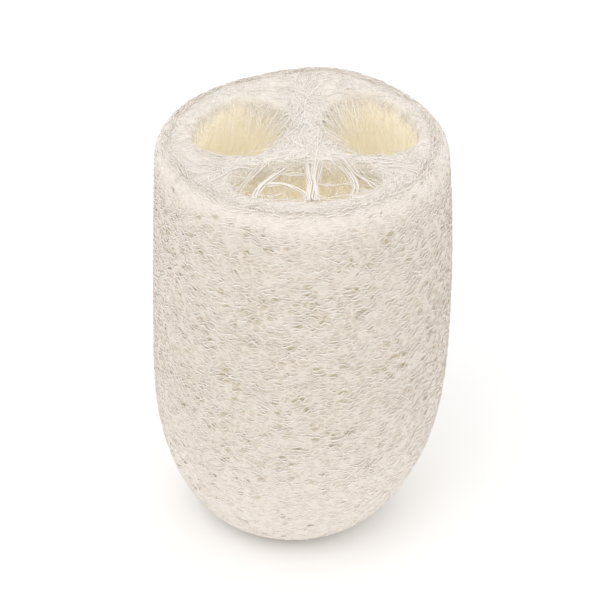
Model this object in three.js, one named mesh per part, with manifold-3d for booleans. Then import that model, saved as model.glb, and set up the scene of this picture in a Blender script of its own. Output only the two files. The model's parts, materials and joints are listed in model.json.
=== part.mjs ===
// A natural loofah sponge: the dried fibre skeleton of a sponge gourd, cut across at the top.
// It grew as one piece, so it is one solid: a netted outer wall, three seed chambers that open
// at the cut end, a core with three partitions between them, and strands across the front chamber.
// Millimetres, +Z up. It stands on its trimmed tip, with the origin under the middle of its box.

import * as THREE from "three";
import { mergeVertices } from "three/addons/utils/BufferGeometryUtils.js";
import Module from "manifold-3d";

// Driving dimensions, in millimetres
const HEIGHT = 110;
const BELLY_RADIUS = 38;
const BELLY_HEIGHT = 56;
const TIP_EDGE = 6.4; // rounding of the edge round the trimmed tip
const RIM_EDGE = 3; // rounding of the edge round the cut end
const WALL = 8;
const FLOOR = 14; // solid fibre under the chambers
const FLOOR_ROUND = 12;

// How the outline tapers: shares of the belly radius lost at the tip and at the cut end
const TIP_TAPER = 0.4;
const TIP_POWER = 3.25;
const RIM_TAPER = 0.05;

// The gourd is not quite straight: its axis leans and bows sideways
const LEAN = 2.7;
const BOW = -5.2;
const LOBE = 0.35; // three soft lobes round the section
const HUMP = 2.4; // the cut end stands higher at the back
const HUMP_ANGLE = 75;
const HUMP_SPREAD = 28;
const CORE_DIP = 1.6; // the core sits a little below the rim

// The raised net: a lattice of rings whose every third point is a pit between the fibres
const NET_AROUND = 45;
const NET_RINGS = 50;
const NET_RISE = 0.5;
const NET_PIT = 1.8;
const NET_FADE = 3; // rings over which the net rises out of the tip's edge
const NET_WANDER = 0.2; // share of a step that a lattice point strays
const TIP_FLAT = 7; // radius of the flat scar in the middle of the tip
const TIP_PIT = 1.2;
const CUT_RINGS = 5;
const CUT_ROUGH = 0.6;

// The seed chambers, as ellipses of the cut end: angle and distance of the middle, half sizes
const CHAMBERS = [
  { angle: 156, centre: 16.9, radial: 10.3, across: 13.6 },
  { angle: 24, centre: 18.6, radial: 10.3, across: 14.2 },
  { angle: 274, centre: 17.6, radial: 9.6, across: 17.8 },
];
const FRONT = CHAMBERS[2];
const CHAMBER_AROUND = 24;
const CHAMBER_RINGS = 8;
const CHAMBER_SQUARE = 2.3; // exponent of the section: 2 is an ellipse
const LINING_RIB = 0.45; // fibres that run along the lining

// Strands of fibre, in the cut end and over the front chamber
const STRAND_SIDES = 5;
const CORE = new THREE.Vector2(1.5, -3); // where the three partitions meet
const PARTITIONS = [90, 214, 328]; // where they reach the wall
const PARTITION_REACH = 30;
const FELT_STRANDS = 30;
const COLOUR = 0xe6dccf;

const wasm = await Module();
wasm.setup();

// A seeded source of numbers from 0 to 1, so that each build is the same
function seeded(seed) {
  let state = seed;
  return () => {
    state = (state + 0x6d2b79f5) | 0;
    let mixed = Math.imul(state ^ (state >>> 15), 1 | state);
    mixed = (mixed + Math.imul(mixed ^ (mixed >>> 7), 61 | mixed)) ^ mixed;
    return ((mixed ^ (mixed >>> 14)) >>> 0) / 4294967296;
  };
}

const radians = THREE.MathUtils.degToRad;
const smooth = THREE.MathUtils.smoothstep;

// Shape of the gourd

// Outer radius at a height, without the net
function outline(z) {
  const below = Math.max(0, 1 - z / BELLY_HEIGHT);
  const above = Math.max(0, (z - BELLY_HEIGHT) / (HEIGHT - BELLY_HEIGHT));
  const body = BELLY_RADIUS * (1 - TIP_TAPER * below ** TIP_POWER - RIM_TAPER * above ** 2);
  const tip = Math.max(0, TIP_EDGE - z);
  const rim = Math.min(RIM_EDGE, Math.max(0, z - HEIGHT + RIM_EDGE));
  const tipLoss = TIP_EDGE - Math.sqrt(TIP_EDGE ** 2 - tip ** 2);
  const rimLoss = RIM_EDGE - Math.sqrt(RIM_EDGE ** 2 - rim ** 2);
  return body - tipLoss - rimLoss;
}

// Sideways place of the axis at a height
function axisX(z) {
  const t = z / HEIGHT - 0.5;
  return LEAN * t + BOW * (t * t - 0.08);
}

// How far the cut end stands above or below its mean height
function cutLift(angle, radius) {
  const share = radius / BELLY_RADIUS;
  const away = Math.atan2(Math.sin(angle - radians(HUMP_ANGLE)), Math.cos(angle - radians(HUMP_ANGLE)));
  const hump = HUMP * Math.exp(-((away / radians(HUMP_SPREAD)) ** 2)) * share ** 2;
  return hump - CORE_DIP * (1 - smooth(share, 0, 0.7));
}

// A point at an angle, radius and height of the gourd, with its lobes, lean and uneven cut
function place(angle, radius, z) {
  const lobed = radius + (LOBE * Math.cos(3 * (angle - radians(FRONT.angle))) * radius) / BELLY_RADIUS;
  const lift = cutLift(angle, radius) * smooth(z, HEIGHT - 22, HEIGHT);
  return new THREE.Vector3(axisX(z) + lobed * Math.cos(angle), lobed * Math.sin(angle), z + lift);
}

// Steps of equal length along the outline, from the tip's edge to the cut end's edge
function outlineSteps(count) {
  const fine = 2000;
  const points = Array.from({ length: fine + 1 }, (_, i) => {
    const z = (HEIGHT * i) / fine;
    return new THREE.Vector2(outline(z), z);
  });
  const lengths = [0];
  for (let i = 1; i <= fine; i++) lengths.push(lengths[i - 1] + points[i].distanceTo(points[i - 1]));
  return Array.from({ length: count + 1 }, (_, k) => {
    const wanted = (lengths[fine] * k) / count;
    return points[lengths.findIndex((length) => length >= wanted - 1e-9)];
  });
}

// Solids and meshes

function solidFrom(positions, triangles) {
  const mesh = new wasm.Mesh({
    numProp: 3,
    vertProperties: new Float32Array(positions.flatMap((p) => [p.x, p.y, p.z])),
    triVerts: new Uint32Array(triangles.flat()),
  });
  return new wasm.Manifold(mesh);
}

function solidOf(geometry) {
  const bare = geometry.clone();
  bare.deleteAttribute("normal");
  bare.deleteAttribute("uv");
  const merged = mergeVertices(bare, 1e-4);
  const index = Array.from(merged.index.array);
  const { position } = merged.attributes;
  const pointAt = (_, i) => new THREE.Vector3().fromBufferAttribute(position, i);
  const points = Array.from({ length: position.count }, pointAt);
  const triangles = [];
  for (let i = 0; i < index.length; i += 3) triangles.push(index.slice(i, i + 3));
  return solidFrom(points, triangles);
}

function geometryOf(solid) {
  const mesh = solid.getMesh();
  const geometry = new THREE.BufferGeometry();
  geometry.setAttribute("position", new THREE.BufferAttribute(mesh.vertProperties, 3));
  geometry.setIndex(new THREE.BufferAttribute(mesh.triVerts, 1));
  geometry.computeVertexNormals();
  return geometry;
}

// Triangles between two rings of equal count, where odd rings are set half a step on
function latticeBand(lower, upper, count, lowerIsOdd) {
  const band = [];
  for (let i = 0; i < count; i++) {
    const next = (i + 1) % count;
    const crossing = lowerIsOdd
      ? [[lower + i, upper + next, upper + i], [lower + i, lower + next, upper + next]]
      : [[lower + i, lower + next, upper + i], [lower + next, upper + next, upper + i]];
    band.push(...crossing);
  }
  return band;
}

// The rings of the body, from the tip's flat scar round the wall and in across the cut end:
// radius, height, the way out of the surface, and how far the net's pits sink and its fibres rise
function bodyRings() {
  const steps = outlineSteps(NET_RINGS);
  const rim = steps[NET_RINGS].x;
  const tipFace = new THREE.Vector2(0, -1);
  const cutFace = new THREE.Vector2(0, 1);
  const rings = [
    { radius: TIP_FLAT, z: 0, out: tipFace, pit: 0, rise: 0, rough: 0 },
    { radius: (TIP_FLAT + steps[0].x) / 2, z: 0, out: tipFace, pit: TIP_PIT, rise: 0, rough: 0 },
  ];
  steps.forEach((step, k) => {
    const before = steps[Math.max(0, k - 1)];
    const along = steps[Math.min(NET_RINGS, k + 1)].clone().sub(before).normalize();
    const share = Math.min(1, k / NET_FADE);
    const out = new THREE.Vector2(along.y, -along.x);
    const relief = { pit: NET_PIT * share, rise: NET_RISE * share, rough: 0 };
    rings.push({ radius: step.x, z: step.y, out, ...relief });
  });
  for (let k = 1; k < CUT_RINGS; k++) {
    const radius = rim * (1 - k / CUT_RINGS);
    rings.push({ radius, z: HEIGHT, out: cutFace, pit: 0, rise: 0, rough: CUT_ROUGH });
  }
  return rings;
}

// The netted wall with its cut end and trimmed tip, before the chambers are cut
function nettedBody() {
  const random = seeded(11);
  const either = (size) => (random() * 2 - 1) * size;
  const rings = bodyRings();
  const points = [];
  const triangles = [];
  rings.forEach((ring, k) => {
    const wander = ring.rise > 0 ? NET_WANDER : 0;
    for (let i = 0; i < NET_AROUND; i++) {
      const isPit = (i + (k % 2 ? 2 : 0)) % 3 === 0;
      const angle = ((i + (k % 2 ? 0.5 : 0) + either(wander)) / NET_AROUND) * 2 * Math.PI;
      const raised = (isPit ? -ring.pit : ring.rise) * (1 + either(0.25)) + either(ring.rough);
      const z = ring.z + ring.out.y * raised + either(wander);
      points.push(place(angle, ring.radius + ring.out.x * raised, Math.max(0, z)));
    }
    if (k === 0) return;
    triangles.push(...latticeBand((k - 1) * NET_AROUND, k * NET_AROUND, NET_AROUND, k % 2 === 0));
  });

  const scar = points.push(new THREE.Vector3(axisX(0), 0, 0)) - 1;
  const cut = points.push(place(0, 0, HEIGHT)) - 1;
  const last = (rings.length - 1) * NET_AROUND;
  for (let i = 0; i < NET_AROUND; i++) {
    const next = (i + 1) % NET_AROUND;
    triangles.push([scar, next, i], [last + i, last + next, cut]);
  }
  return solidFrom(points, triangles);
}

// A chamber's own directions at the cut end: outward from the axis, and across
function chamberAxes({ angle }) {
  const turn = radians(angle);
  return {
    out: new THREE.Vector2(Math.cos(turn), Math.sin(turn)),
    across: new THREE.Vector2(-Math.sin(turn), Math.cos(turn)),
  };
}

// A point of a chamber in shares of its half sizes: outward and across, at a height
function inChamber(chamber, outShare, acrossShare, z) {
  const { out, across } = chamberAxes(chamber);
  const size = (outline(Math.min(z, HEIGHT - RIM_EDGE)) - WALL) / (outline(HEIGHT - RIM_EDGE) - WALL);
  const a = size * (chamber.centre + chamber.radial * outShare);
  const b = size * chamber.across * acrossShare;
  return new THREE.Vector3(axisX(z) + out.x * a + across.x * b, out.y * a + across.y * b, z);
}

// The hollow of a chamber, ribbed along its length, from its rounded floor to above the cut end
function chamberHollow(chamber, seed) {
  const random = seeded(seed);
  const points = [];
  const triangles = [];
  const top = HEIGHT + HUMP + 4;
  const rib = LINING_RIB / chamber.radial;
  const ribs = Array.from({ length: CHAMBER_AROUND }, (_, i) => {
    return (i % 2 ? rib : -rib) * (0.6 + 0.8 * random());
  });
  for (let k = 0; k < CHAMBER_RINGS; k++) {
    const share = k / (CHAMBER_RINGS - 1);
    const z = FLOOR + (top - FLOOR) * share ** 1.6;
    const low = Math.max(0, 1 - (z + 1.5 - FLOOR) / FLOOR_ROUND);
    const rounding = Math.sqrt(1 - low * low);
    for (let i = 0; i < CHAMBER_AROUND; i++) {
      const turn = (2 * Math.PI * i) / CHAMBER_AROUND;
      const bulge = (value) => Math.sign(value) * Math.abs(value) ** (2 / CHAMBER_SQUARE);
      const grown = (1 + ribs[i]) * rounding;
      points.push(inChamber(chamber, bulge(Math.cos(turn)) * grown, bulge(Math.sin(turn)) * grown, z));
    }
    if (k === 0) continue;
    for (let i = 0; i < CHAMBER_AROUND; i++) {
      const next = (i + 1) % CHAMBER_AROUND;
      const lower = (k - 1) * CHAMBER_AROUND;
      const upper = k * CHAMBER_AROUND;
      triangles.push([lower + i, lower + next, upper + next], [lower + i, upper + next, upper + i]);
    }
  }
  const floor = points.push(inChamber(chamber, 0, 0, FLOOR)) - 1;
  const lid = points.push(inChamber(chamber, 0, 0, top)) - 1;
  const last = (CHAMBER_RINGS - 1) * CHAMBER_AROUND;
  for (let i = 0; i < CHAMBER_AROUND; i++) {
    const next = (i + 1) % CHAMBER_AROUND;
    triangles.push([floor, next, i], [last + i, last + next, lid]);
  }
  return solidFrom(points, triangles);
}

// A strand of fibres along a curve through some points
function strand(points, steps, width, depth = width, sides = STRAND_SIDES) {
  const corners = Array.from({ length: sides }, (_, i) => {
    const turn = (2 * Math.PI * i) / sides;
    return new THREE.Vector2((depth / 2) * Math.cos(turn), (width / 2) * Math.sin(turn));
  });
  const path = new THREE.CatmullRomCurve3(points);
  return solidOf(new THREE.ExtrudeGeometry(new THREE.Shape(corners), { steps, extrudePath: path }));
}

// The strands over the mouth of the front chamber: a broad web from the core to the wall, and an arc on
// each side of it. Places are shares of the chamber's half sizes.
function mouthStrands() {
  const random = seeded(23);
  const level = HEIGHT - 4.5;
  const spot = ([out, across]) => inChamber(FRONT, out, across, level + random());
  const route = (places) => places.map(spot);
  const web = [[-1.25, 0.13], [-0.2, 0.09], [1.2, 0.05]];
  const arcs = [
    [[-1.25, 0.05], [-0.92, -0.33], [-0.29, -0.6], [0.31, -0.72], [1.15, -0.75]],
    [[-1.25, 0.34], [-0.8, 0.57], [-0.14, 0.66], [0.45, 0.6], [1.15, 0.55]],
  ];
  return [
    strand(route(web), 4, 3, 2),
    ...arcs.map((places) => strand(route(places), 8, 1.8)),
  ];
}

// Strands that run in along one partition, past the core and out along another
function partitionStrands() {
  const random = seeded(37);
  const made = [];
  const along = (angle, share, aside) => {
    const turn = radians(angle);
    const wall = new THREE.Vector2(Math.cos(turn), Math.sin(turn)).multiplyScalar(PARTITION_REACH);
    const spot = CORE.clone().lerp(wall, share);
    spot.add(new THREE.Vector2(-Math.sin(turn), Math.cos(turn)).multiplyScalar(aside));
    const height = HEIGHT + cutLift(Math.atan2(spot.y, spot.x), spot.length());
    return new THREE.Vector3(axisX(HEIGHT) + spot.x, spot.y, height + 0.4 * random());
  };
  PARTITIONS.forEach((angle, i) => {
    const other = PARTITIONS[(i + 1) % PARTITIONS.length];
    for (const aside of [0.7, 2.3]) {
      const inward = [0.95, 0.55, 0.15].map((share) => along(angle, share, aside + random() - 0.5));
      const outward = [0.15, 0.55, 0.95].map((share) => along(other, share, -aside + random() - 0.5));
      made.push(strand([...inward, ...outward], 9, 1.6));
    }
  });
  return made;
}

// Matted strands that lie every way on the rim of the cut end
function rimFelt() {
  const random = seeded(53);
  return Array.from({ length: FELT_STRANDS }, (_, i) => {
    const angle = ((i + random() * 0.6) / FELT_STRANDS) * 2 * Math.PI;
    const radius = outline(HEIGHT - RIM_EDGE) - 2.5 - 2.5 * random();
    const heading = angle + Math.PI / 2 + (random() - 0.5) * 2.4;
    const reach = 2.6 + 1.4 * random();
    const middle = place(angle, radius, HEIGHT);
    const way = new THREE.Vector3(Math.cos(heading), Math.sin(heading), 0).multiplyScalar(reach);
    const sunk = new THREE.Vector3(0, 0, -1.2);
    const ends = [middle.clone().sub(way).add(sunk), middle.clone().add(way).add(sunk)];
    return strand([ends[0], middle.setZ(middle.z + 0.5), ends[1]], 3, 1.5, 1.5, 4);
  });
}

// The largest single body, so that no loose scrap is left
function wholeBody(solid) {
  return solid.decompose().reduce((most, body) => (body.volume() > most.volume() ? body : most));
}

function loofahSolid() {
  let solid = nettedBody();
  CHAMBERS.forEach((chamber, i) => {
    solid = solid.subtract(chamberHollow(chamber, 71 + i));
  });
  for (const grown of [...mouthStrands(), ...partitionStrands(), ...rimFelt()]) solid = solid.add(grown);
  return wholeBody(solid);
}

// The finished part, moved so that the middle of its box is over the origin
function loofahSponge() {
  const geometry = geometryOf(loofahSolid());
  geometry.computeBoundingBox();
  const middle = geometry.boundingBox.getCenter(new THREE.Vector3());
  geometry.translate(-middle.x, -middle.y, -geometry.boundingBox.min.z);
  const material = new THREE.MeshStandardMaterial({ color: COLOUR, roughness: 0.9, metalness: 0 });
  const mesh = new THREE.Mesh(geometry, material);
  mesh.name = "loofah_sponge";
  return mesh;
}

const part = new THREE.Group();
part.name = "natural_loofah_sponge";
part.add(loofahSponge());

export default part;
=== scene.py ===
# %% [markdown]
# # A natural loofah sponge
# A loofah is the dried fibre skeleton of a sponge gourd. This one is cut across at the top, where three
# seed chambers show, and stands on its tapered tip. The solid from the frame gives the shape, and this
# lesson dresses it as what it is: a mat of fine fibres. Lengths below are in millimetres until a mesh is
# made, because that is how a gourd is measured.

# %% Load the frame
import json
import math

import bpy
import numpy as np
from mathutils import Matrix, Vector
from mathutils.bvhtree import BVHTree

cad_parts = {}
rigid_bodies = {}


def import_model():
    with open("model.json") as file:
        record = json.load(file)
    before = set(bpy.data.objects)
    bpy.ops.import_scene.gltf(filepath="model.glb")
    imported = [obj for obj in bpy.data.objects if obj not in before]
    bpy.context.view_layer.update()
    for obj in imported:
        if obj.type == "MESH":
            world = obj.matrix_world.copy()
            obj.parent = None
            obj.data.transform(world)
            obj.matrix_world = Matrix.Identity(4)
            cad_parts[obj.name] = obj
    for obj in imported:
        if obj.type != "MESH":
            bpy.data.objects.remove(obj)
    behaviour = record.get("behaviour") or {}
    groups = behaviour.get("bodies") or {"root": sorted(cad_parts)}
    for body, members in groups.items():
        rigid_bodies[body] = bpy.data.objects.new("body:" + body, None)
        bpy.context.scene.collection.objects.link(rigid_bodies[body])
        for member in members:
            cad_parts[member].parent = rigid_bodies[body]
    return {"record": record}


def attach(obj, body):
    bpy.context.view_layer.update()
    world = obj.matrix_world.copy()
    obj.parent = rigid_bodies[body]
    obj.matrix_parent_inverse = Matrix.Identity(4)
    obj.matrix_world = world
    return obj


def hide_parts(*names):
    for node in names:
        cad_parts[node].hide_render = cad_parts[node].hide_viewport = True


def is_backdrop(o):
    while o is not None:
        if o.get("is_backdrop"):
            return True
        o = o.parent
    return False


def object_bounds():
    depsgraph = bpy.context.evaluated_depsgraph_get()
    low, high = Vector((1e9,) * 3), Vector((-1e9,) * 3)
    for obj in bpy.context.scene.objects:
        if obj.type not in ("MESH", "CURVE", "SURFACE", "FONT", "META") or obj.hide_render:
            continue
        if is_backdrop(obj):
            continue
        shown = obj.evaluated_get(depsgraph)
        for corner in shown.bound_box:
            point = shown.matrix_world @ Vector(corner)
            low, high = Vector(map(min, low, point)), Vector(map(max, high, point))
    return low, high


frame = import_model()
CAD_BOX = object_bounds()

MM = 0.001
NODE = "loofah_sponge"
print("solid, mm:", np.round(np.subtract(*CAD_BOX[::-1]) / MM, 1))

# %% [markdown]
# ## The gourd's shape
# Every fibre lies on or near the gourd's skin, so the skin is written once, as formulas of angle and
# height. The outline swells to a belly, closes to the tip and draws in a little at the cut end. Its axis
# leans and bows, and the cut end stands higher at the back. These are the solid's own formulas.

# %% The skin as formulas
HEIGHT = 110.0
BELLY = 38.0
BELLY_Z = 56.0
TIP_EDGE = 6.4
RIM_EDGE = 4.6
TIP_TAPER, TIP_POWER, RIM_TAPER = 0.4, 3.25, 0.05
LEAN, BOW, LOBE = 2.7, -5.2, 0.35
HUMP, HUMP_ANGLE, HUMP_SPREAD = 2.4, math.radians(75), math.radians(28)
CORE_DIP = 1.6
FRONT_ANGLE = math.radians(274)


def axis_x(z):
    t = np.asarray(z) / HEIGHT - 0.5
    return LEAN * t + BOW * (t * t - 0.08)


# The base mount sits on the axis, so it tells where the axis stands in the frame
base_mount = next(m for m in frame["record"]["mounts"] if m["name"] == "base")
AXIS = np.array(base_mount["pos_m"][:2]) / MM - [axis_x(0.0), 0.0]


def smooth(value, low, high):
    t = np.clip((value - low) / (high - low), 0, 1)
    return t * t * (3 - 2 * t)


def body_radius(z):
    below = np.clip(1 - z / BELLY_Z, 0, None)
    above = np.clip((z - BELLY_Z) / (HEIGHT - BELLY_Z), 0, None)
    return BELLY * (1 - TIP_TAPER * below**TIP_POWER - RIM_TAPER * above**2)


def outline(z):
    tip = np.clip(TIP_EDGE - z, 0, TIP_EDGE)
    rim = np.clip(z - HEIGHT + RIM_EDGE, 0, RIM_EDGE)
    lost = TIP_EDGE - np.sqrt(TIP_EDGE**2 - tip**2) + RIM_EDGE - np.sqrt(RIM_EDGE**2 - rim**2)
    return body_radius(z) - lost


def cut_lift(angle, radius):
    share = radius / BELLY
    away = np.arctan2(np.sin(angle - HUMP_ANGLE), np.cos(angle - HUMP_ANGLE))
    hump = HUMP * np.exp(-((away / HUMP_SPREAD) ** 2)) * share**2
    return hump - CORE_DIP * (1 - smooth(share, 0, 0.7))


def place(angle, radius, z):
    lobed = radius + LOBE * np.cos(3 * (angle - FRONT_ANGLE)) * radius / BELLY
    lifted = z + cut_lift(angle, radius) * smooth(z, HEIGHT - 22, HEIGHT)
    x = AXIS[0] + axis_x(z) + lobed * np.cos(angle)
    y = AXIS[1] + lobed * np.sin(angle)
    return np.stack(np.broadcast_arrays(x, y, lifted), -1)


print("rim radius, mm:", round(float(outline(HEIGHT - RIM_EDGE)), 1), "axis at", np.round(AXIS, 2))

# %% [markdown]
# ## A way along the skin
# Fibres run under the tip, round the wall, over the rim and across the cut end, so a place on the skin is
# given by an angle and by the way walked along the outline from the middle of the tip. The outline is
# walked in fine steps once, and any place on it is then read off between the steps.

# %% The outline by distance walked
FLAT = float(outline(HEIGHT))
WALL_FOOT = float(outline(0.0))
wall_z = np.linspace(0, HEIGHT, 1500)
tip_r, cut_r = np.linspace(0, WALL_FOOT, 200)[:-1], np.linspace(FLAT, 0, 200)[1:]
walk_r = np.concatenate([tip_r, outline(wall_z), cut_r])
walk_z = np.concatenate([0 * tip_r, wall_z, 0 * cut_r + HEIGHT])
walk_s = np.concatenate([[0], np.cumsum(np.hypot(np.diff(walk_r), np.diff(walk_z)))])
walk_out = np.stack([np.gradient(walk_z, walk_s), -np.gradient(walk_r, walk_s)])
WALK_END = float(walk_s[-1])
WALL_TOP = WALK_END - FLAT


def on_skin(angle, s, height):
    """Places and outward directions at an angle and a way walked, a height above the skin."""
    r, z = np.interp(s, walk_s, walk_r), np.interp(s, walk_s, walk_z)
    out_r, out_z = np.interp(s, walk_s, walk_out[0]), np.interp(s, walk_s, walk_out[1])
    points = place(angle, r + out_r * height, z + out_z * height)
    outward = np.stack(np.broadcast_arrays(out_r * np.cos(angle), out_r * np.sin(angle), out_z), -1)
    return points, outward / np.linalg.norm(outward, axis=-1, keepdims=True)


print("way from tip to rim, mm:", round(WALL_TOP, 1), "of which wall:", round(WALL_TOP - WALL_FOOT, 1))

# %% [markdown]
# ## The seed chambers
# Three chambers run down the gourd, left, right and front, each an oval that narrows towards a rounded
# floor. A chamber has its own directions: outward from the axis, and across. A place in it is given in
# shares of its half sizes, so 1 is its lining.

# %% Chambers
WALL = 8.0
FLOOR = 14.0
FLOOR_ROUND = 12.0
SQUARE = 2.3
CHAMBERS = {
    "left": (math.radians(156), 16.9, 10.3, 13.6),
    "right": (math.radians(24), 18.6, 10.3, 14.2),
    "front": (FRONT_ANGLE, 17.6, 9.6, 17.8),
}


def in_chamber(name, out_share, across_share, z):
    angle, centre, radial, across = CHAMBERS[name]
    level = np.minimum(z, HEIGHT - RIM_EDGE)
    size = (outline(level) - WALL) / (outline(HEIGHT - RIM_EDGE) - WALL)
    a, b = size * (centre + radial * out_share), size * across * across_share
    x = AXIS[0] + axis_x(z) + math.cos(angle) * a - math.sin(angle) * b
    y = AXIS[1] + math.sin(angle) * a + math.cos(angle) * b
    return np.stack(np.broadcast_arrays(x, y, z), -1)


def floor_rounding(z):
    low = np.clip(1 - (z + 1.5 - FLOOR) / FLOOR_ROUND, 0, 1)
    return np.sqrt(1 - low * low)


def oval(turn):
    bulge = lambda v: np.sign(v) * np.abs(v) ** (2 / SQUARE)
    return bulge(np.cos(turn)), bulge(np.sin(turn))


def beyond_chamber(name, x, y):
    """How far a place of the cut end lies outside a chamber's edge, less than 0 inside it."""
    angle, centre, radial, across = CHAMBERS[name]
    a = math.cos(angle) * x + math.sin(angle) * y - centre
    b = -math.sin(angle) * x + math.cos(angle) * y
    size = (np.abs(a / radial) ** SQUARE + np.abs(b / across) ** SQUARE) ** (1 / SQUARE)
    return np.hypot(a, b) * (1 - 1 / np.maximum(size, 1e-3))


print("chambers:", ", ".join(CHAMBERS))

# %% [markdown]
# ## The cut end
# The cut end is flat in the middle, rounds over at the rim and rounds into the chambers. A place on it is
# given as seen from above, from the axis. Past the flat part the distance is laid along the outline
# instead, so a fibre that walks outward goes over the rim. One that walks into a chamber hangs down.

# %% The cut end as a surface
LIP = 1.8
HANG = 1.3


def on_cut(x, y, height):
    """Places and outward directions at plan places of the cut end, a height above it."""
    angle = np.arctan2(y, x)
    points, outward = on_skin(angle, WALK_END - np.hypot(x, y), height)
    for name in CHAMBERS:
        beyond = beyond_chamber(name, x, y)
        near = np.clip(LIP - beyond, 0, LIP)
        points[..., 2] -= LIP - np.sqrt(LIP**2 - near**2) + HANG * np.maximum(-beyond, 0)
    return points, outward


print("flat part of the cut end reaches", round(FLAT, 1), "mm from the axis")

# %% [markdown]
# ## Camera
# The photograph looks down on the cut end from about 35 degrees, from well back with a long lens. The lens
# follows from the size of the gourd in the frame. Aiming a little above the middle sets it low in the frame
# without a lens shift.

# %% Camera
FRAME_PIXELS = 600
ELEVATION = math.radians(35)
DISTANCE = 690.0
PIXELS_PER_SLOPE = 2694.0
AIM_ABOVE = 22.1
SENSOR = 36.0

back = np.array([0, -math.cos(ELEVATION), math.sin(ELEVATION)])
upward = np.array([0, math.sin(ELEVATION), math.cos(ELEVATION)])
middle = np.array([AXIS[0], AXIS[1], HEIGHT / 2])
stand = middle + back * DISTANCE
aim = middle + upward * DISTANCE * AIM_ABOVE / PIXELS_PER_SLOPE

camera = bpy.data.objects.new("camera", bpy.data.cameras.new("camera"))
bpy.context.collection.objects.link(camera)
camera.data.sensor_width = SENSOR
camera.data.lens = SENSOR * PIXELS_PER_SLOPE / FRAME_PIXELS
camera.location = Vector(stand) * MM
camera.rotation_euler = Vector(aim - stand).to_track_quat("-Z", "Y").to_euler()
bpy.context.scene.camera = camera
print("lens, mm:", round(camera.data.lens, 1))

# %% [markdown]
# ## Shader maths as Python
# A loofah has one material, dried plant fibre; its tone changes from strand to strand, and with depth
# as painted shade and light.
# That takes some node maths, which reads best as expressions. A Wire holds a node's output, and an operator
# on it adds a Math node. A Finish holds one material, and its add method makes any other node.

# %% Wire
class Wire:
    """A node's output that Python's operators can work on."""

    def __init__(self, finish, socket):
        self.finish, self.socket = finish, socket

    def maths(self, operation, first, second):
        return self.finish.add("ShaderNodeMath", {"operation": operation}, {0: first, 1: second})

    def __add__(self, other):
        return self.maths("ADD", self, other)

    def __mul__(self, other):
        return self.maths("MULTIPLY", self, other)

    def __sub__(self, other):
        return self.maths("SUBTRACT", self, other)

    def __rsub__(self, other):
        return self.maths("SUBTRACT", other, self)

    __radd__ = __add__
    __rmul__ = __mul__


print("operators on wires: + - *")

# %% Finish
SWAY_SCALE = 260


class Finish:
    """A material made of nodes around one Principled shader."""

    def __init__(self, name):
        self.material = bpy.data.materials.new(name)
        self.material.use_nodes = True
        self.tree = self.material.node_tree
        self.tree.nodes.clear()

    def add(self, kind, settings, sockets, output=0):
        """A node of a kind: its settings first, then the values or links of its sockets."""
        node = self.tree.nodes.new(kind)
        for key, value in settings.items():
            setattr(node, key, value)
        for key, value in sockets.items():
            if isinstance(value, Wire):
                self.tree.links.new(value.socket, node.inputs[key])
            else:
                node.inputs[key].default_value = value
        return Wire(self, node.outputs[output]) if node.outputs else None

    def value(self, name):
        return self.add("ShaderNodeAttribute", {"attribute_name": name}, {}, output=2)

    def blend(self, factor, first, second):
        ends = {0: factor}
        for key, colour in ((6, first), (7, second)):
            ends[key] = colour if isinstance(colour, Wire) else (*colour, 1)
        return self.add("ShaderNodeMix", {"data_type": "RGBA"}, ends, output=2)

    def spot(self):
        return self.add("ShaderNodeTexCoord", {}, {}, output=3)

    def noise(self, scale, detail, output=0):
        sockets = {"Vector": self.spot(), "Scale": scale, "Detail": detail}
        return self.add("ShaderNodeTexNoise", {}, sockets, output)

    def vectors(self, operation, first, second):
        return self.add("ShaderNodeVectorMath", {"operation": operation}, {0: first, 1: second})

    def cells(self, scale, stretch, sway):
        """How far a place, swayed and stretched, lies from the edges of the random cell that holds it."""
        waves = self.vectors("SUBTRACT", self.noise(SWAY_SCALE, 2, output=1), (0.5, 0.5, 0.5))
        swayed = self.vectors("ADD", self.spot(), self.vectors("MULTIPLY", waves, (sway, sway, sway)))
        sockets = {"Vector": self.vectors("MULTIPLY", swayed, stretch), "Scale": scale}
        return self.add("ShaderNodeTexVoronoi", {"feature": "DISTANCE_TO_EDGE"}, sockets)

    def steps(self, wire, low, high):
        return self.add("ShaderNodeMapRange", {"interpolation_type": "SMOOTHSTEP"},
                        {"Value": wire, "From Min": low, "From Max": high})

    def surface(self, **sockets):
        named = {key.replace("_", " "): value for key, value in sockets.items()}
        shader = self.add("ShaderNodeBsdfPrincipled", {}, named)
        self.add("ShaderNodeOutputMaterial", {}, {"Surface": shader})
        return self.material


print("helpers of a finish:", [name for name in vars(Finish) if not name.startswith("_")])

# %% [markdown]
# ## Dried fibre
# On the outside the fibres are bleached to a pale cream. In the chambers, and where a strand lies deep, a
# warm straw colour is painted in for the shade there and the light let through the fibre. Every strand
# carries two numbers on its points: its own tone, and how deep it lies. A slow mottle over the whole gourd
# keeps large areas from looking alike.

# %% Fibre materials
PALE = (0.84, 0.78, 0.73)
CREAM = (0.75, 0.69, 0.635)
# Straw: painted warm shade and light let through the fibre, for strands that lie deep and for the chambers
WARM_LIT_STRAW = (0.91, 0.85, 0.7)
# Tan: painted shade in the pits of the wall
PIT_SHADE_TAN = (0.64, 0.56, 0.4)
WHITE = (0.9, 0.865, 0.825)
GLOW, GLOW_COLOUR = 0.145, (1, 0.9, 0.72)
SEEPING = {"Subsurface_Weight": 0.6, "Subsurface_Radius": (1, 0.97, 0.93), "Subsurface_Scale": 0.0008}


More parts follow.
